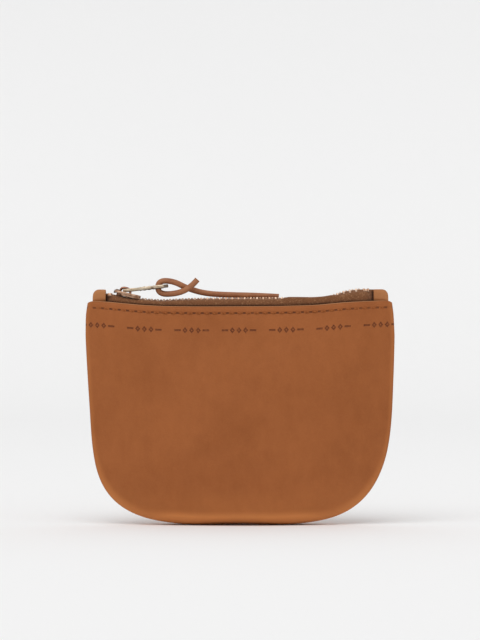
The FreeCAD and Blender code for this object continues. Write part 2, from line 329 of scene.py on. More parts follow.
class Look:
    """A small builder of node materials."""

    def __init__(self, name):
        self.material = bpy.data.materials.new(name)
        self.material.use_nodes = True
        self.tree = self.material.node_tree
        self.shader = self.tree.nodes["Principled BSDF"]
        self.place = self.node("ShaderNodeTexCoord").outputs["Object"]

    def node(self, kind, **values):
        made = self.tree.nodes.new(kind)
        for key, value in values.items():
            setattr(made, key, value)
        return made

    def put(self, socket, value):
        if isinstance(value, bpy.types.NodeSocket):
            self.tree.links.new(value, socket)
        else:
            socket.default_value = value

    def math(self, operation, a, b=None, c=None, clamp=False):
        made = self.node("ShaderNodeMath", operation=operation, use_clamp=clamp)
        for socket, value in zip(made.inputs, (a, b, c)):
            if value is not None:
                self.put(socket, value)
        return made.outputs[0]

    def stretch(self, scale):
        made = self.node("ShaderNodeMapping")
        self.put(made.inputs["Vector"], self.place)
        made.inputs["Scale"].default_value = scale
        return made.outputs[0]

    def noise(self, scale, detail=3.0, rough=0.5, source=None, warp=0.0):
        made = self.node("ShaderNodeTexNoise")
        self.put(made.inputs["Vector"], source or self.place)
        made.inputs["Scale"].default_value = scale
        made.inputs["Detail"].default_value = detail
        made.inputs["Roughness"].default_value = rough
        made.inputs["Distortion"].default_value = warp
        return made.outputs["Fac"]

    def cells(self, scale):
        made = self.node("ShaderNodeTexVoronoi", feature="F1")
        self.put(made.inputs["Vector"], self.place)
        made.inputs["Scale"].default_value = scale
        return made.outputs["Distance"]

    def ramp(self, value, low, high, to_low=0.0, to_high=1.0):
        made = self.node("ShaderNodeMapRange", interpolation_type="SMOOTHSTEP")
        self.put(made.inputs["Value"], value)
        made.inputs["From Min"].default_value = low
        made.inputs["From Max"].default_value = high
        made.inputs["To Min"].default_value = to_low
        made.inputs["To Max"].default_value = to_high
        return made.outputs["Result"]

    def mix(self, factor, a, b):
        made = self.node("ShaderNodeMix", data_type="RGBA", blend_type="MIX")
        self.put(made.inputs[0], factor)
        self.put(made.inputs[6], a)
        self.put(made.inputs[7], b)
        return made.outputs[2]

    def mark(self, name):
        return self.node("ShaderNodeAttribute", attribute_name=name).outputs["Fac"]

    def uv_mm(self):
        """The UV map in millimetres, as two numbers."""
        uv = self.node("ShaderNodeTexCoord").outputs["UV"]
        parts = self.node("ShaderNodeSeparateXYZ")
        self.put(parts.inputs[0], uv)
        return self.math("MULTIPLY", parts.outputs[0], 100.0), self.math("MULTIPLY", parts.outputs[1], 100.0)

    def bump(self, height, distance, before=None, strength=1.0):
        made = self.node("ShaderNodeBump")
        made.inputs["Strength"].default_value = strength
        made.inputs["Distance"].default_value = distance * MM
        self.put(made.inputs["Height"], height)
        if before is not None:
            self.put(made.inputs["Normal"], before)
        return made.outputs["Normal"]

    def finish(self, color, roughness, normal=None, **fixed):
        self.put(self.shader.inputs["Base Color"], color)
        self.put(self.shader.inputs["Roughness"], roughness)
        if normal is not None:
            self.put(self.shader.inputs["Normal"], normal)
        for key, value in fixed.items():
            self.shader.inputs[key.replace("_", " ")].default_value = value
        return self.material


def leather(name, deep, pale, motif=False, stitched=False):
    look = Look(name)
    clouds = look.ramp(look.noise(34, 4, 0.6, warp=0.25), 0.3, 0.7)
    brushed = look.noise(240, 4, 0.65, source=look.stretch((1.0, 1.0, 0.55)))
    pores = look.noise(1500, 2, 0.5)
    blotch = look.math("ADD", look.math("MULTIPLY", clouds, 0.34), look.math("MULTIPLY", brushed, 0.58))
    blotch = look.math("ADD", blotch, look.math("MULTIPLY", pores, 0.34))
    blotch = look.math("SUBTRACT", blotch, 0.13)
    color = look.mix(blotch, deep, pale)
    rough = look.math("ADD", 0.58, look.math("MULTIPLY", look.noise(160, 3), 0.14))
    # Rolled rims get a painted highlight, paler and more orange, strongest along the bottom where light
    # bounces up from the floor
    color = look.mix(look.mark("rim"), color, srgb(196, 124, 68))
    color = look.mix(look.math("MULTIPLY", look.mark("cut"), 0.8), color, srgb(176, 124, 84))
    color = look.mix(look.math("MULTIPLY", look.mark("flesh"), 0.9), color, srgb(164, 122, 88))
    grain = look.cells(1150)
    creases = look.noise(620, 5, 0.65)
    height = look.math("ADD", look.math("MULTIPLY", grain, 0.55), look.math("MULTIPLY", creases, 0.6))
    normal = look.bump(height, 0.05, strength=0.6)
    normal = look.bump(look.noise(95, 3, 0.5), 0.5, before=normal, strength=0.35)
    if stitched:
        x, v = look.uv_mm()
        along = look.math("ABSOLUTE", look.math("WRAP", x, STITCH_PITCH / 2, -STITCH_PITCH / 2))
        off = look.math("ABSOLUTE", look.math("SUBTRACT", v, STITCH_V))
        hole = look.math("MULTIPLY", look.ramp(along, 0.9, 1.25), look.ramp(off, 0.5, 0.15))
        groove = look.ramp(off, 0.9, 0.1)
        sunk = look.math("ADD", look.math("MULTIPLY", hole, 0.8), look.math("MULTIPLY", groove, 0.3))
        # Painted shade in the stitch holes, darker in some holes than others
        hole_shade_amount = look.ramp(look.noise(70, 2), 0.36, 0.6, 0.42, 0.82)
        color = look.mix(look.math("MULTIPLY", hole, hole_shade_amount), color, srgb(74, 34, 14))
        if motif:
            p = look.math("WRAP", look.math("ADD", x, 0.4), MARK_PITCH / 2, -MARK_PITCH / 2)
            q = look.math("ABSOLUTE", p)
            up = look.math("ABSOLUTE", look.math("SUBTRACT", v, MARK_V))
            d = look.math("ABSOLUTE", look.math("WRAP", p, 1.35, -1.35))
            lozenge = look.math("ADD", d, look.math("DIVIDE", up, 1.25))
            ringed = look.math("ABSOLUTE", look.math("SUBTRACT", lozenge, 0.66))
            inked = look.math("MULTIPLY", look.ramp(ringed, 0.4, 0.24), look.ramp(q, 4.1, 4.0))
            bar = look.math(
                "MAXIMUM",
                look.math("SUBTRACT", look.math("ABSOLUTE", look.math("SUBTRACT", q, 5.75)), 1.25),
                look.math("SUBTRACT", up, 0.34),
            )
            inked = look.math("MAXIMUM", inked, look.ramp(bar, 0.12, -0.12))
            wear_and_painted_shade = look.ramp(look.noise(900, 3, 0.6), 0.28, 0.55, 0.55, 1.0)
            inked = look.math("MULTIPLY", inked, wear_and_painted_shade)
            color = look.mix(look.math("MULTIPLY", inked, 0.8), color, srgb(92, 42, 18))
            sunk = look.math("ADD", sunk, inked)
        normal = look.bump(look.math("MULTIPLY", sunk, -1.0), 0.28, before=normal)
    return look.finish(color, rough, normal, Specular_IOR_Level=0.22)


def tape_cloth(name):
    look = Look(name)
    x, v = look.uv_mm()
    # Herringbone: slanted ribs that change direction in each band
    band = look.math("PINGPONG", v, 1.15)
    slant = look.math("ADD", x, band)
    rib = look.math("ABSOLUTE", look.math("SINE", look.math("MULTIPLY", slant, 2 * math.pi / 1.1)))
    yarn = look.math("ABSOLUTE", look.math("SINE", look.math("MULTIPLY", v, math.pi / 0.34)))
    weave = look.math("ADD", look.math("MULTIPLY", rib, 0.7), look.math("MULTIPLY", yarn, 0.3))
    mottle = look.noise(260, 3, 0.6)
    weave_share = look.math("MULTIPLY", weave, 0.65)
    tone = look.math("ADD", weave_share, look.math("MULTIPLY", mottle, 0.4), clamp=True)
    flecks = look.ramp(look.noise(1500, 2, 0.5), 0.5, 0.72)
    color = look.mix(tone, srgb(74, 38, 17), srgb(142, 94, 60))
    color = look.mix(look.math("MULTIPLY", flecks, 0.22), color, srgb(206, 160, 116))
    color = look.mix(look.math("MULTIPLY", look.mark("shade"), 0.92), color, srgb(40, 15, 4))
    normal = look.bump(weave, 0.12)
    normal = look.bump(look.noise(2200, 2), 0.05, before=normal)
    return look.finish(color, 0.82, normal, Sheen_Weight=0.25, Sheen_Roughness=0.45, Specular_IOR_Level=0.2)


def cloth(name, dark, light, threads=1900.0):
    look = Look(name)
    first = look.node("ShaderNodeTexWave", wave_type="BANDS", bands_direction="X")
    second = look.node("ShaderNodeTexWave", wave_type="BANDS", bands_direction="Z")
    for wave in (first, second):
        look.put(wave.inputs["Vector"], look.place)
        wave.inputs["Scale"].default_value = threads / 6
        wave.inputs["Distortion"].default_value = 0.6
    weave = look.math("MULTIPLY", first.outputs["Fac"], second.outputs["Fac"])
    tone = look.math("ADD", look.math("MULTIPLY", weave, 0.6), look.math("MULTIPLY", look.noise(120, 3), 0.4))
    return look.finish(look.mix(tone, dark, light), 0.88, look.bump(weave, 0.1), Sheen_Weight=0.2)


def metal(name, base, bright, rough):
    look = Look(name)
    tarnish = look.ramp(look.noise(330, 4, 0.65), 0.35, 0.68)
    color = look.mix(tarnish, base, bright)
    # Painted shade: faces turned downwards, and points marked dark (painted shade and dark reflection), mix
    # towards dark brown
    facing = look.node("ShaderNodeSeparateXYZ")
    look.put(facing.inputs[0], look.node("ShaderNodeTexCoord").outputs["Normal"])
    painted_underside_shade = look.ramp(facing.outputs[2], 0.3, -0.6)
    wear_and_painted_shade = look.math("MULTIPLY", look.mark("dark"), 0.85)
    painted_shade = look.math("MAXIMUM", look.math("MULTIPLY", painted_underside_shade, 0.8), wear_and_painted_shade)
    color = look.mix(painted_shade, color, srgb(46, 26, 16))
    scratch = look.noise(900, 2, 0.5, source=look.stretch((1.0, 1.0, 9.0)))
    roughness = look.math("ADD", rough, look.math("MULTIPLY", look.noise(700, 3), 0.22))
    return look.finish(color, roughness, look.bump(scratch, 0.03), Metallic=0.95)


def lace_leather(name):
    look = Look(name)
    fibre = look.noise(260, 4, 0.6, source=look.stretch((0.35, 3.0, 3.0)))
    spots = look.ramp(look.noise(150, 3), 0.3, 0.7)
    tone = look.math("ADD", look.math("MULTIPLY", fibre, 0.6), look.math("MULTIPLY", spots, 0.4))
    color = look.mix(tone, srgb(118, 66, 40), srgb(176, 118, 78))
    normal = look.bump(fibre, 0.14, strength=0.7)
    normal = look.bump(look.cells(1300), 0.05, before=normal, strength=0.6)
    return look.finish(color, 0.55, normal, Specular_IOR_Level=0.35)


def thread_look(name, color_a, color_b):
    look = Look(name)
    twist = look.node("ShaderNodeTexWave", wave_type="BANDS", bands_direction="DIAGONAL")
    look.put(twist.inputs["Vector"], look.place)
    twist.inputs["Scale"].default_value = 420
    ply = twist.outputs["Fac"]
    return look.finish(look.mix(ply, color_a, color_b), 0.7, look.bump(ply, 0.08), Specular_IOR_Level=0.12)


BODY_LEATHER = leather("body_leather", srgb(138, 76, 34), srgb(164, 96, 50), motif=True, stitched=True)
BACK_LEATHER = leather("back_leather", srgb(138, 76, 34), srgb(164, 96, 50), stitched=True)
TAB_LEATHER = leather("tab_leather", srgb(156, 98, 56), srgb(184, 126, 80))
TAPE = tape_cloth("zip_tape_weave")
LINING = cloth("lining_weave", srgb(120, 100, 76), srgb(176, 156, 128))
TEETH = metal("tooth_metal", srgb(206, 160, 128), srgb(246, 218, 194), 0.24)
SLIDER_METAL = metal("slider_metal", srgb(164, 120, 92), srgb(228, 188, 158), 0.28)
PULL_METAL = metal("puller_metal", srgb(196, 172, 142), srgb(236, 220, 196), 0.26)
COPPER = metal("copper_metal", srgb(128, 74, 50), srgb(206, 152, 122), 0.28)
LACE = lace_leather("lace_leather")
THREAD = thread_look("stitch_thread", srgb(134, 74, 36), srgb(160, 94, 50))


# ---------------------------------------------------------------- leather panels

def panel_rows():
    low = [0.0, 0.06, 0.18, 0.4, 0.7, 1.1, 1.6, 2.2, 2.9, 3.7, 4.6, 5.6, 6.8, 8.2]
    rest = list(np.linspace(9.6, TOP, 84))
    return np.array(low + rest)


EDGE_LEVELS = np.concatenate([np.zeros(8), 94.0 * np.linspace(0, 1, 320) ** 3])
EDGE_WIDTHS = np.concatenate([np.linspace(0, 3, 8), half_width(EDGE_LEVELS[8:])])


def edge_distance(x, z):
    """How far points of a panel are from its outline, the top edge left out."""
    x = np.abs(np.asarray(x, float))[..., None]
    z = np.asarray(z, float)[..., None]
    return np.min(np.hypot(x - EDGE_WIDTHS, z - EDGE_LEVELS), axis=-1)


# The top lip, from the outside over to the inside: depth into the leather, and drop
LIP_PROFILE = [
    (0.03, 0.02), (0.12, -0.1), (0.34, -0.17), (0.66, -0.19), (0.98, -0.17), (1.2, -0.1), (1.28, 0.05),
]


def leather_panel(name, side, seed, material):
    """side is -1 for the front panel and 1 for the back one."""
    roll = np.radians(np.linspace(70, -78, 9))
    inner_u = np.linspace(-1, 1, 223)
    inner_u = 0.8 * inner_u + 0.2 * np.sin(inner_u * math.pi / 2)

    def level(zeta):
        w = float(row_width(zeta))
        flat = w - RIM_R
        # Inside the rolled edge the two panels are glued face to face
        rolled_x = np.concatenate([[flat - 0.5], flat + RIM_R * np.cos(roll)])
        rolled_y = np.concatenate([[0.0], RIM_GAP + RIM_R - RIM_R * np.sin(roll)])
        xs = np.concatenate([-rolled_x, inner_u * flat, rolled_x[::-1]])
        ys = np.concatenate([rolled_y, surface_y(inner_u * flat, zeta), rolled_y[::-1]])
        zs = zeta + float(fade_up(zeta)) * bottom_line(xs / w, xs) + (edge_z(xs) - TOP) * (zeta / TOP) ** 4
        return xs, ys, zs

    def hull(ys, zeta):
        return FOOT * (ys / FOOT_Y) ** 1.5 * float(fade_up(zeta))

    outer = []
    for zeta in panel_rows():
        xs, ys, zs = level(zeta)
        d = edge_distance(xs, zs)
        below = edge_z(xs) - zs
        swell = [
            0.42 * noise.noise((x / 21 + seed, z / 21, seed * 1.7))
            + 0.10 * noise.noise((x / 8 + seed, z / 8, seed * 0.7))
            for x, z in zip(xs, zs)
        ]
        calm = smoothstep(1.5, 12, d) * smoothstep(1.0, 9, below)
        ridge = 0.14 * np.exp(-((d - 1.9) / 1.0) ** 2) - 0.18 * np.exp(-((d - 4.6) / 1.7) ** 2)
        outward = smoothstep(0.5, RIM_Y, ys)
        ys = ys + outward * (calm * swell + ridge * smoothstep(1.2, 4, below) * smoothstep(30, 6, zs))
        outer.append(np.stack([xs, ys, zs + hull(ys, zeta)], axis=1))
    sole = []
    foot_x, foot_y, foot_z = outer[0].T
    foot_z = foot_z - hull(foot_y, 0)
    for share in (0.03, 0.09, 0.18, 0.35, 0.55, 0.75, 0.9):
        lift = 0.55 * math.exp(-(share / 0.09) ** 2)
        sole.append(np.stack([foot_x, foot_y * share, foot_z + lift + hull(foot_y * share, 0)], axis=1))
    lip = []
    for depth, drop in LIP_PROFILE:
        xs, ys, zs = outer[-1].T
        xs = xs * (1 - depth / WALL * SEAM_W / SIDE_X)
        lip.append(np.stack([xs, np.maximum(ys - depth, 0.06), zs - drop], axis=1))
    inside = []
    for zeta in np.linspace(TOP - 0.8, 3.2, 34):
        xs, ys, zs = level(zeta)
        squeeze = (float(row_width(zeta)) - SEAM_W) / float(row_width(zeta))
        inside.append(np.stack([xs * squeeze, np.maximum(ys - WALL, 0.06), zs], axis=1))
    every = np.array(sole + outer + lip + inside)
    cols = every.shape[1]
    part = np.repeat([0, 1, 2], [len(sole) + len(outer), len(lip), len(inside)])
    part = np.repeat(part, cols)
    points = every.reshape(-1, 3)
    cut = (part == 1) * 1.0
    flesh = (part == 2) * 1.0
    x, z = points[:, 0], points[:, 2]
    d = edge_distance(x, z)
    # The rim mark is a painted highlight: a band along the outline, widest and brightest low down, plus
    # painted bounce light from the floor near the bottom
    low = smoothstep(40, 6, z)
    middle = low * smoothstep(40, 24, np.abs(x))
    wide = smoothstep(2.2 + 2.2 * low + 2.0 * middle, 0.8 + middle, d) * (0.22 + 0.36 * low + 0.62 * middle)
    painted_bounce_light = 0.2 * smoothstep(22, 4, z) * smoothstep(24, 3, d)
    rim = (wide + painted_bounce_light) * (1 - flesh)
    points[:, 1] *= side
    points[:, 0] += lean_x(points[:, 2])
    uvs = np.stack([points[:, 0], edge_line(points[:, 0]) - points[:, 2]], axis=1) / 100
    # Inside, the stitch row and the motif don't show
    uvs[:, 1] += 0.3 * flesh
    marks = {"cut": cut, "flesh": flesh, "rim": rim}
    return make(name, points, grid_faces(len(every), cols), material, uvs=uvs, marks=marks)


front_panel = leather_panel("leather_front", -1, 3.1, BODY_LEATHER)
back_panel = leather_panel("leather_back", 1, 8.4, BACK_LEATHER)


# ---------------------------------------------------------------- stitching

def stitch_row(name, side):
    parts = []
    for k in range(STITCH_COUNT):
        x = (k - (STITCH_COUNT - 1) / 2) * STITCH_PITCH
        turn = rng.uniform(-0.05, 0.05)
        path = []
        for s in np.linspace(-1, 1, 9):
            px = x + 1.22 * s
            z = float(edge_line(px)) - STITCH_V + turn * s
            sink = 0.42 * abs(s) ** 4
            y = float(surface_y(px, z)) + 0.02 - sink
            path.append((px, side * y, z))
        parts.append(sweep(path, 0.27, 0.25, side=(0, 0, 1), n=10, power=2.0,
                           scale=lambda t: 1.0 - 0.45 * abs(2 * t - 1) ** 3))
    points, faces = join(parts)
    return make(name, points, faces, THREAD)


front_stitches = stitch_row("stitches_front", -1)
back_stitches = stitch_row("stitches_back", 1)


def along_edge(step, inset):
    """Places at equal steps down one side and along half the bottom, set in from the outline."""
    z = 86.0 * np.linspace(1, 0, 600) ** 3
    x = half_width(z)
    run = np.concatenate([[0], np.cumsum(np.hypot(np.diff(x), np.diff(z)))])
    dx = np.gradient(x, run)
    dz = np.gradient(z, run)
    at = np.arange(step / 2, run[-1], step)
    return zip(np.interp(at, run, x + inset * dz), np.interp(at, run, z - inset * dx))


def seam_stitches():
    parts = []
    for x, z in along_edge(STITCH_PITCH, 0.8):
        for sign in (-1, 1):
            path = [(sign * x + float(lean_x(z)), y, z) for y in (-0.5, -0.25, 0, 0.25, 0.5)]
            parts.append(sweep(path, 0.2, 0.2, side=(0, 0, 1), n=8, power=2.0))
    points, faces = join(parts)
    return make("seam_stitches", points, faces, THREAD)


seam = seam_stitches()


# ---------------------------------------------------------------- zip

def chain_x(k):
    """x of the k-th place along the chain, in teeth, from the slider."""
    first = math.asin((SLIDER_X - ARC_X) / ARC_R) + 0.05 * PITCH / ARC_R
    return ARC_X + ARC_R * math.sin(first + k * PITCH / ARC_R)


def narrow(x):
    """The tapes come together where they run into the end tabs."""
    return 1 - 0.7 * smoothstep(50.8, 55.6, np.abs(x))


TAPE_PATH = [
    (3.60, -9.0), (3.60, -7.5), (3.60, -6.0), (3.60, -4.8), (3.60, -3.8), (3.60, -3.0), (3.60, -2.3),
    (3.59, -1.7), (3.56, -1.2), (3.49, -0.75), (3.37, -0.38), (3.18, -0.12), (2.92, 0.0), (2.65, 0.02),
    (2.40, 0.0),
]


def tape_half(name, side, x0, x1, open_end):
    xs = np.linspace(x0, x1, 70)
    path = np.array(TAPE_PATH)
    step = np.gradient(path, axis=0)
    step /= np.linalg.norm(step, axis=1)[:, None]
    normal = np.stack([step[:, 1], -step[:, 0]], axis=1)
    length = np.concatenate([[0], np.cumsum(np.linalg.norm(np.diff(path, axis=0), axis=1))])
    grids = []
    for half in (0.22, -0.22):
        rows = []
        for (py, pz), (ny, nz) in zip(path, normal):
            ripple = 0.07 * np.sin(xs * 2.1 + 1.3 * side) * smoothstep(-6, -2.5, pz)
            y = (py + ny * half + ripple) * narrow(xs)
            slack = 0.55 * smoothstep(37, 45, xs) * smoothstep(-3.5, -0.5, pz) * smoothstep(2.45, 3.1, py)
            fold = smoothstep(16, 20, xs) * smoothstep(41, 36, xs) * smoothstep(-3.5, -0.5, pz)
            hide = fold * smoothstep(2.45, 3.1, py)
            z = chain_z(xs) + pz + nz * half - slack + hide
            rows.append(np.stack([xs, side * y, z], axis=1))
        grids.append(np.array(rows))
    u, v = np.meshgrid(xs, length)
    uvs = np.stack([u.ravel(), v.ravel()], axis=1) / 100
    above = [g[:, :, 2] - edge_z(g[:, :, 0]) for g in grids]
    ends = smoothstep(53.4, 54.6, np.abs(u)).ravel()
    shade = np.concatenate([np.maximum(smoothstep(1.15, 0.25, a).ravel(), ends) for a in above])
    return thick_sheet(name, grids[0], grids[1], TAPE, uvs=uvs, open_ends=(open_end,), more={"shade": shade})


def bead_half(name, side, x0, x1):
    rings = []
    for x in np.linspace(x0, x1, 90):
        y = side * BEAD_Y * float(narrow(x))
        z = float(chain_z(x))
        rings.append([(x, y + a, z + b) for a, b in ring(0.55, 0.55, 10)])
    points, faces = tube(rings)
    uvs = [(p[0] / 100, p[2] / 100) for p in points]
    return make(name, points, faces, TAPE, uvs=uvs)


TOOTH_RINGS = [
    (-3.0, 0.2, 0.4), (-2.92, 0.38, 0.74), (-2.7, 0.48, 0.94), (-2.0, 0.56, 1.02), (-1.35, 0.56, 0.98),
    (-0.9, 0.46, 0.86), (-0.35, 0.44, 0.82), (0.15, 0.52, 0.8), (0.55, 0.52, 0.66), (0.82, 0.36, 0.4),
]


def tooth_at(x, side):
    z = float(chain_z(x))
    lean = math.atan(float(chain_z(x + 0.5)) - float(chain_z(x - 0.5)))
    ca = math.cos(lean)
    sa = math.sin(lean)
    rings = []
    for y, a, b in TOOTH_RINGS:
        rings.append([
            (x + u * ca - v * sa, -side * y, z + u * sa + v * ca) for u, v in ring(a, b, 12, 3.4)
        ])
    return tube(rings)


def teeth_half(name, side, keep):
    parts = []
    for k in range(TOOTH_COUNT):
        x = chain_x(k if side < 0 else k + 0.5)
        if keep(x):
            parts.append(tooth_at(x, side))
    points, faces = join(parts)
    # Painted shade on the teeth towards the left end, near the slider
    wear_and_painted_shade = [0.5 * float(smoothstep(-12, -22, p[0])) for p in points]
    return make(name, points, faces, TEETH, marks={"dark": wear_and_painted_shade})


zip_halves = []
for side, row in ((-1, "front"), (1, "back")):
    for part, x0, x1, open_end in (("left", -ZIP_END, 0.0, "right"), ("right", 0.0, ZIP_END, "left")):
        tape = tape_half(f"tape_{row}_{part}", side, x0, x1, open_end)
        bead_x0 = x0 + (BEAD_END if x0 < 0 else 0)
        bead_x1 = x1 - (BEAD_END if x1 > 0 else 0)
        bead = bead_half(f"bead_{row}_{part}", side, bead_x0, bead_x1)
        inside = (lambda x: x < 0) if part == "left" else (lambda x: x >= 0)
        teeth = teeth_half(f"teeth_{row}_{part}", side, inside)
        zip_halves.append((row, part, tape, bead, teeth))


def stop_piece(name, lumps, y0, y1, sides):
    """Metal folded over the chain: one rounded lump, or more, given as x, length and half height."""
    parts = []
    for x, length, height in lumps:
        z = float(chain_z(x))
        for side in sides:
            rings = []
            n = 9
            for k in range(n):
                t = k / (n - 1)
                grow = 1 - 0.35 * abs(2 * t - 1) ** 5
                y = side * (y0 + (y1 - y0) * t)
                rings.append([(x + u, y, z + v) for u, v in ring(length / 2 * grow, height * grow, 16, 4.0)])
            parts.append(tube(rings))
    points, faces = join(parts)
    return make(name, points, faces, SLIDER_METAL)


front_stop = stop_piece("top_stop_front", [(-53.3, 1.9, 0.85)], 1.0, 2.95, (-1,))
back_stop = stop_piece("top_stop_back", [(-53.3, 1.9, 0.85)], 1.0, 2.95, (1,))
end_lumps = [(50.7, 0.95, 1.0), (51.6, 1.6, 0.7), (52.5, 0.85, 1.0)]
end_stop = stop_piece("bottom_stop_bar", end_lumps, -2.95, 2.95, (1,))


# ---------------------------------------------------------------- end tabs

def end_tab(name, x0, x1, top, outer_side):
    """A strip of leather folded over the zip ends; the outer top corner is rounded."""
    profile = []
    half = 2.6
    bend = 1.5
    for z in np.linspace(84.5, 90.6, 7):
        profile.append((1.35, z - top))
    for z in np.linspace(91.4, top - bend - 0.2, 6):
        t = float(smoothstep(90.2, 92.6, z))
        profile.append((1.35 + (half - 1.35) * t, z - top))
    for a in np.linspace(0, 90, 9):
        c = math.cos(math.radians(a))
        s = math.sin(math.radians(a))
        profile.append((half - bend + bend * c, -bend + bend * s))
    profile = profile + [(-y, z) for y, z in reversed(profile)]
    path = np.array(profile)
    step = np.gradient(path, axis=0)
    step /= np.linalg.norm(step, axis=1)[:, None]
    normal = np.stack([step[:, 1], -step[:, 0]], axis=1)
    xs = np.concatenate([[x0, x0 + 0.12], np.linspace(x0 + 0.35, x1 - 0.35, 14), [x1 - 0.12, x1]])
    soft = np.minimum(xs - x0, x1 - xs)
    grids = []
    for inset in (0.0, 1.2):
        rows = []
        for (py, pz), (ny, nz) in zip(path, normal):
            gap = (x1 - xs) if outer_side > 0 else (xs - x0)
            corner = 2.6
            rise = np.sqrt(np.maximum(0, corner ** 2 - (corner - gap) ** 2))
            fall = np.where(gap < corner, corner - rise, 0)
            share = float(smoothstep(-6.5, -1.0, pz))
            wear_and_painted_shade = 0.16 * np.exp(-soft / 0.25) * (1 if inset == 0 else -1)
            y = py - ny * (inset + wear_and_painted_shade)
            z = top + pz - nz * (inset + wear_and_painted_shade) - fall * share
            rows.append(np.stack([xs, y, z], axis=1))
        grids.append(np.array(rows))
    return thick_sheet(name, grids[0], grids[1], TAB_LEATHER)


left_tab = end_tab("tab_left", -60.3, -55.0, 96.3, -1)
right_tab = end_tab("tab_right", 54.7, 60.7, 96.4, 1)


# ---------------------------------------------------------------- lining

def lining_sheet(name, side):
    xs_share = np.linspace(-1, 1, 60)
    grids = []
    for extra in (0.12, 0.42):
        rows = []
        for zeta in np.linspace(83.2, 3.6, 50):
            w = float(row_width(zeta)) - SEAM_W - extra
            xs = xs_share * w
            ys = surface_y(xs * (w + SEAM_W) / w, zeta) - WALL - extra
            slack = 0.25 * np.sin(xs / 6.5 + zeta / 9 * side) * smoothstep(0.0, 8.0, w - np.abs(xs))
            ys = np.maximum(ys - np.abs(slack), 0.1)
            zs = zeta + float(fade_up(zeta)) * bottom_line(xs / w, xs)
            rows.append(np.stack([xs + lean_x(zs), side * ys, zs], axis=1))
        grids.append(np.array(rows))
    return thick_sheet(name, grids[0], grids[1], LINING)


front_lining = lining_sheet("lining_front", -1)
back_lining = lining_sheet("lining_back", 1)


# ---------------------------------------------------------------- slider and puller

slider_z = ARC_Z - math.sqrt(ARC_R ** 2 - (SLIDER_X - ARC_X) ** 2)
slider_turn = math.radians(CHAIN_SLOPE + SLIDER_LEAN)
slider_place = Matrix.Translation((SLIDER_X * MM, 0, slider_z * MM)) @ Matrix.Rotation(slider_turn, 4, "Y")


def flat_shape(name, outline, holes, half, bevel, material):
    """A flat shape with holes and rounded edges, from outlines in its own plane."""
    curve = bpy.data.curves.new(name + "_outline", "CURVE")
    curve.dimensions = "2D"
    curve.fill_mode = "BOTH"
    curve.extrude = (half - bevel) * MM
    curve.bevel_depth = bevel * MM
    curve.bevel_resolution = 3
    curve.offset = -bevel * MM
    for loop in [outline] + holes:
        spline = curve.splines.new("POLY")
        spline.points.add(len(loop) - 1)
        for point, (x, y) in zip(spline.points, loop):
            point.co = (x * MM, y * MM, 0, 1)
        spline.use_cyclic_u = True
    carrier = bpy.data.objects.new(name + "_outline", curve)
    scene.collection.objects.link(carrier)
    bpy.context.view_layer.update()
    mesh = bpy.data.meshes.new_from_object(carrier.evaluated_get(bpy.context.evaluated_depsgraph_get()))
    mesh.name = name
    bpy.data.objects.remove(carrier)
    bpy.data.curves.remove(curve)
    bm = bmesh.new()
    bm.from_mesh(mesh)
    bmesh.ops.remove_doubles(bm, verts=bm.verts, dist=1e-6)
    bmesh.ops.recalc_face_normals(bm, faces=bm.faces)
    bm.to_mesh(mesh)
    bm.free()
    mesh.materials.clear()
    mesh.polygons.foreach_set("use_smooth", np.full(len(mesh.polygons), False))
    return link(name, mesh, material)


def rounded(points, radius=0.6, steps=5):
    """The same outline with its corners rounded."""
    out = []
    n = len(points)
    for k in range(n):
        before = Vector(points[k - 1])
        here = Vector(points[k])
        after = Vector(points[(k + 1) % n])
        a = here + (before - here).normalized() * min(radius, (before - here).length * 0.45)
        b = here + (after - here).normalized() * min(radius, (after - here).length * 0.45)
        for s in range(steps + 1):
            t = s / steps
            p = a * (1 - t) ** 2 + here * 2 * t * (1 - t) + b * t * t
            out.append((p.x, p.y))
    return out


def plate_outline(nose, tail):
    half = [(-5.45, nose * 0.55), (-4.2, nose), (0.2, nose), (4.6, tail), (5.45, tail * 0.75)]
    return rounded(half + [(x, -y) for x, y in reversed(half)], 1.1)


def shift(obj, z):
    obj.data.transform(Matrix.Translation((0, 0, z * MM)))
    return obj


def smooth_by_angle(obj, degrees=35):
    mesh = obj.data
    mesh.polygons.foreach_set("use_smooth", np.full(len(mesh.polygons), True))
    bm = bmesh.new()
    bm.from_mesh(mesh)
    for edge in bm.edges:
        if len(edge.link_faces) == 2 and edge.calc_face_angle(0) > math.radians(degrees):
            edge.smooth = False
    bm.to_mesh(mesh)
    bm.free()


def merge(name, objects):
    """One object from several that share a material."""
    bm = bmesh.new()
    for o in objects:
        bm.from_mesh(o.data)
    mesh = bpy.data.meshes.new(name)
    bm.to_mesh(mesh)
    bm.free()
    material = objects[0].data.materials[0]
    for o in objects:
        bpy.data.objects.remove(o)
    return link(name, mesh, material)


upper = shift(flat_shape("upper", plate_outline(4.6, 3.9), [], 0.5, 0.22, SLIDER_METAL), z=1.8)
lower = shift(flat_shape("lower", plate_outline(2.5, 2.4), [], 0.5, 0.2, SLIDER_METAL), z=-1.8)
flanges = []
for side in (-1, 1):
    path = [(-2.2, side * 3.7, 1.3)]
    for x in np.linspace(-1.9, 4.4, 10):
        path.append((x, side * float(np.interp(x, [-2, 0.2, 4.6], [4.1, 4.1, 3.45])), 1.12))
    path += [(4.9, side * 3.2, 1.15)]
    points, faces = sweep(path, 0.55, 0.34, side=(0, 0, 1), n=14, power=3.5)
    flanges.append(make("flange", points, faces, SLIDER_METAL))
path = [(-3.1, 0, z) for z in np.linspace(-1.4, 1.4, 5)]
points, faces = sweep(path, 0.75, 1.4, n=20, power=1.6)
wedge = make("wedge", points, faces, SLIDER_METAL)
slider_piece = merge("slider_shell", [upper, lower, wedge] + flanges)
smooth_by_angle(slider_piece)
slider_piece.data.transform(slider_place)

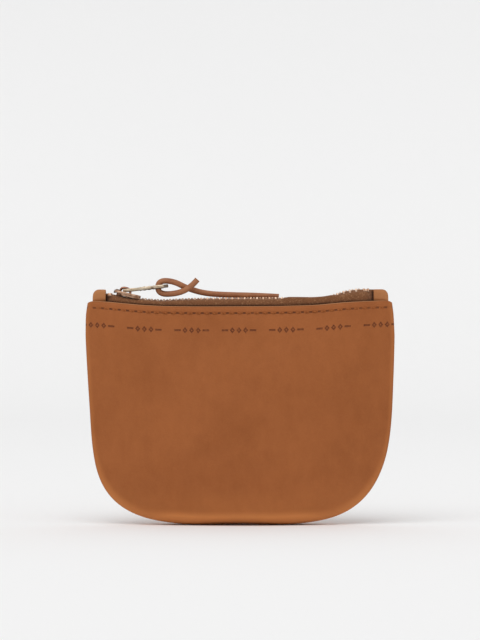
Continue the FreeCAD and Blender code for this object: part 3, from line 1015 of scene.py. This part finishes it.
# A small hook over the nose, painted dark all over as shade
hook = [
    (-5.3, 0, 1.1), (-5.35, 0, 1.65), (-5.18, 0, 2.08), (-4.8, 0, 2.35), (-4.3, 0, 2.44), (-3.8, 0, 2.36),
    (-3.4, 0, 2.12), (-3.15, 0, 1.8), (-3.0, 0, 1.4),
]
points, faces = sweep(hook, 1.2, 0.45, n=16, power=4.0)
hook_piece = make("nose_hook", points, faces, SLIDER_METAL, marks={"dark": [0.9] * len(points)})
hook_piece.data.transform(slider_place)

# The crown: a strap bent over the plate, highest towards its tail end
arch = []
for a in np.linspace(math.pi, 0, 25):
    c = math.cos(a)
    s = math.sin(a)
    arch.append((-1.15 + 2.1 * math.copysign(abs(c) ** 0.7, c), 0, 2.0 + 2.05 * s ** 0.75))
points, faces = sweep(arch, 1.3, 0.5, n=16, power=3.0)
crown_piece = make("slider_bail", points, faces, COPPER)
crown_piece.data.transform(slider_place)

pivot = (-47.356, 0.0, 95.803)
puller_turn = math.radians(-6.4)
puller_place = Matrix.Translation(Vector(pivot) * MM) @ Matrix.Rotation(puller_turn, 4, "Y")


def circle(cx, r, n=28):
    return [(cx + r * math.cos(2 * math.pi * k / n), r * math.sin(2 * math.pi * k / n)) for k in range(n)]


half_outline = [
    (-0.62, 2.3), (4.4, 2.5), (6.0, 1.7), (6.9, 0.95), (9.2, 0.85), (11.0, 1.0), (11.8, 2.3),
    (13.0, 3.1), (16.2, 3.1), (18.05, 2.0),
]
outline = rounded(half_outline + [(x, -y) for x, y in reversed(half_outline)], 0.8)
window = rounded([(0.55, 1.4), (0.55, -1.4), (4.3, -1.4), (5.1, -0.7), (5.1, 0.7), (4.3, 1.4)], 0.4)
plate = flat_shape("puller_plate", outline, [window, circle(EYE_X, 1.62)], 0.66, 0.3, PULL_METAL)
path = [(x, 0, 0) for x in np.linspace(6.3, 12.2, 18)]
points, faces = sweep(path, 0.85, 0.88, n=18, power=2.4,
                      scale=lambda t: 0.9 + 0.1 * math.cos(t * 6 * math.pi))
neck = make("neck", points, faces, PULL_METAL)
rings = []
for k in range(36):
    a = 2 * math.pi * k / 36
    rings.append([
        (EYE_X + (2.0 + u) * math.cos(a), (2.0 + u) * math.sin(a), v) for u, v in ring(0.3, 0.8, 10, 2.2)
    ])
points = [p for r in rings for p in r] + rings[0]
eyelet = make("eyelet", points, grid_faces(37, 10, around=True), PULL_METAL)
path = [(0, y, 0) for y in np.linspace(-2.3, 2.3, 15)]
points, faces = sweep(path, 0.5, 0.5, side=(1, 0, 0), n=16, power=2.0)
bar = make("bar", points, faces, PULL_METAL)
puller_piece = merge("puller_plate_piece", [plate, neck, eyelet, bar])
smooth_by_angle(puller_piece)
# Painted dark reflection on the puller's end beyond the eye
tip = puller_piece.data.attributes.new("dark", "FLOAT", "POINT")
darkness = [0.85 * float(smoothstep(15.6, 16.6, v.co.x / MM)) for v in puller_piece.data.vertices]
tip.data.foreach_set("value", darkness)
puller_piece.data.transform(puller_place)


# ---------------------------------------------------------------- lace

lace_points = [
    (-0.0174, -0.0017, 0.1004),
    (-0.0204, -0.0017, 0.0969),
    (-0.0260, -0.0007, 0.0945),
    (-0.0336, 0.0000, 0.0944),
    (-0.0336, 0.0000, 0.0999),
    (-0.0274, 0.0003, 0.0998),
    (-0.0215, 0.0015, 0.0967),
    (-0.0140, 0.0031, 0.0946),
    (-0.0040, 0.0042, 0.0941),
    (0.0065, 0.0044, 0.0939),
    (0.0160, 0.0044, 0.0935),
]
lace_curve = bpy.data.curves.new("lace_thong", "CURVE")
lace_curve.dimensions = "3D"
lace_curve.bevel_depth = LACE_D / 2 * MM
lace_curve.bevel_resolution = 6
lace_curve.resolution_u = 16
lace_curve.use_fill_caps = True
spline = lace_curve.splines.new("NURBS")
spline.points.add(len(lace_points) - 1)
for point, place in zip(spline.points, lace_points):
    point.co = (place[0], place[1], place[2], 1)
spline.points[0].radius = 0.97
spline.points[-1].radius = 0.9
spline.order_u = 3
spline.use_endpoint_u = True
lace_curve.materials.append(LACE)
lace = bpy.data.objects.new("lace_thong", lace_curve)
scene.collection.objects.link(lace)

# ---------------------------------------------------------------- bodies

for obj, body, node, slot in (
    (front_panel, "pouch", "front_panel", "leather_body"),
    (back_panel, "pouch", "back_panel", "leather_body"),
    (front_stitches, "pouch", "front_stitching", "thread"),
    (back_stitches, "pouch", "back_stitching", "thread"),
    (seam, "pouch", "seam_thread", "thread"),
    (front_lining, "pouch", "front_lining", "lining_cloth"),
    (back_lining, "pouch", "back_lining", "lining_cloth"),
    (front_stop, "pouch", "front_top_stop", "zip_metal"),
    (back_stop, "pouch", "back_top_stop", "zip_metal"),
    (end_stop, "pouch", "bottom_stop", "zip_metal"),
    (left_tab, "pouch", "left_end_tab", "leather_tab"),
    (right_tab, "pouch", "right_end_tab", "leather_tab"),
    (slider_piece, "slider", "slider_body", "slider_metal"),
    (hook_piece, "slider", "slider_body", "slider_metal"),
    (crown_piece, "slider", "slider_crown", "slider_metal"),
    (puller_piece, "pull", "puller", "slider_metal"),
    (lace, "pull", "lace", "leather_lace"),
):
    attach(obj, body)
    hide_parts(node)

for row, part, tape, bead, teeth in zip_halves:
    for obj, node in ((tape, "tape"), (bead, "tape_cord"), (teeth, "teeth")):
        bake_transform(obj)
        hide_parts(f"{row}_{node}")


# ---------------------------------------------------------------- stage

def backdrop():
    look = Look("paper")
    place = look.node("ShaderNodeSeparateXYZ")
    look.put(place.inputs[0], look.place)
    far = look.ramp(place.outputs[1], -0.3, 1.7)
    color = look.mix(far, (0.9, 0.9, 0.9, 1), (0.832, 0.832, 0.832, 1))
    look.finish(color, 0.9, Specular_IOR_Level=0.0)
    profile = [(-2.2, 0.0)]
    profile += [(y, 0.0) for y in np.linspace(-1.5, 1.4, 12)]
    for a in np.linspace(0, 90, 13)[1:]:
        profile.append((1.4 + 0.8 * math.sin(math.radians(a)), 0.8 - 0.8 * math.cos(math.radians(a))))
    profile.append((2.2, 3.2))
    points = []
    xs = np.linspace(-3, 3, 7)
    for y, z in profile:
        points += [(x / MM, y / MM, z / MM) for x in xs]
    return make("paper_sweep", points, grid_faces(len(profile), len(xs)), look.material)


sweep_paper = backdrop()

world = bpy.data.worlds.new("studio")
scene.world = world
world.use_nodes = True
world.node_tree.nodes["Background"].inputs["Color"].default_value = (1.0, 1.0, 1.0, 1)
world.node_tree.nodes["Background"].inputs["Strength"].default_value = 0.70

sun_data = bpy.data.lights.new("soft_key", "SUN")
sun_data.energy = 1.09
sun_data.angle = math.radians(50)
sun = bpy.data.objects.new("soft_key", sun_data)
sun.rotation_euler = Vector((0.2, 0.656, -1.0)).to_track_quat("-Z", "Y").to_euler()
scene.collection.objects.link(sun)

camera_data = bpy.data.cameras.new("view_front")
camera = bpy.data.objects.new("view_front", camera_data)
scene.collection.objects.link(camera)
camera.location = (0.0, -VIEW_DISTANCE, VIEW_Z)
camera.rotation_euler = (math.pi / 2, 0, 0)
camera_data.sensor_fit = "VERTICAL"
camera_data.sensor_height = 36.0
camera_data.lens = camera_data.sensor_height * VIEW_DISTANCE / VIEW_HEIGHT
camera_data.clip_start = 0.05
scene.camera = camera
scene.view_settings.view_transform = "Standard"
scene.view_settings.look = "None"
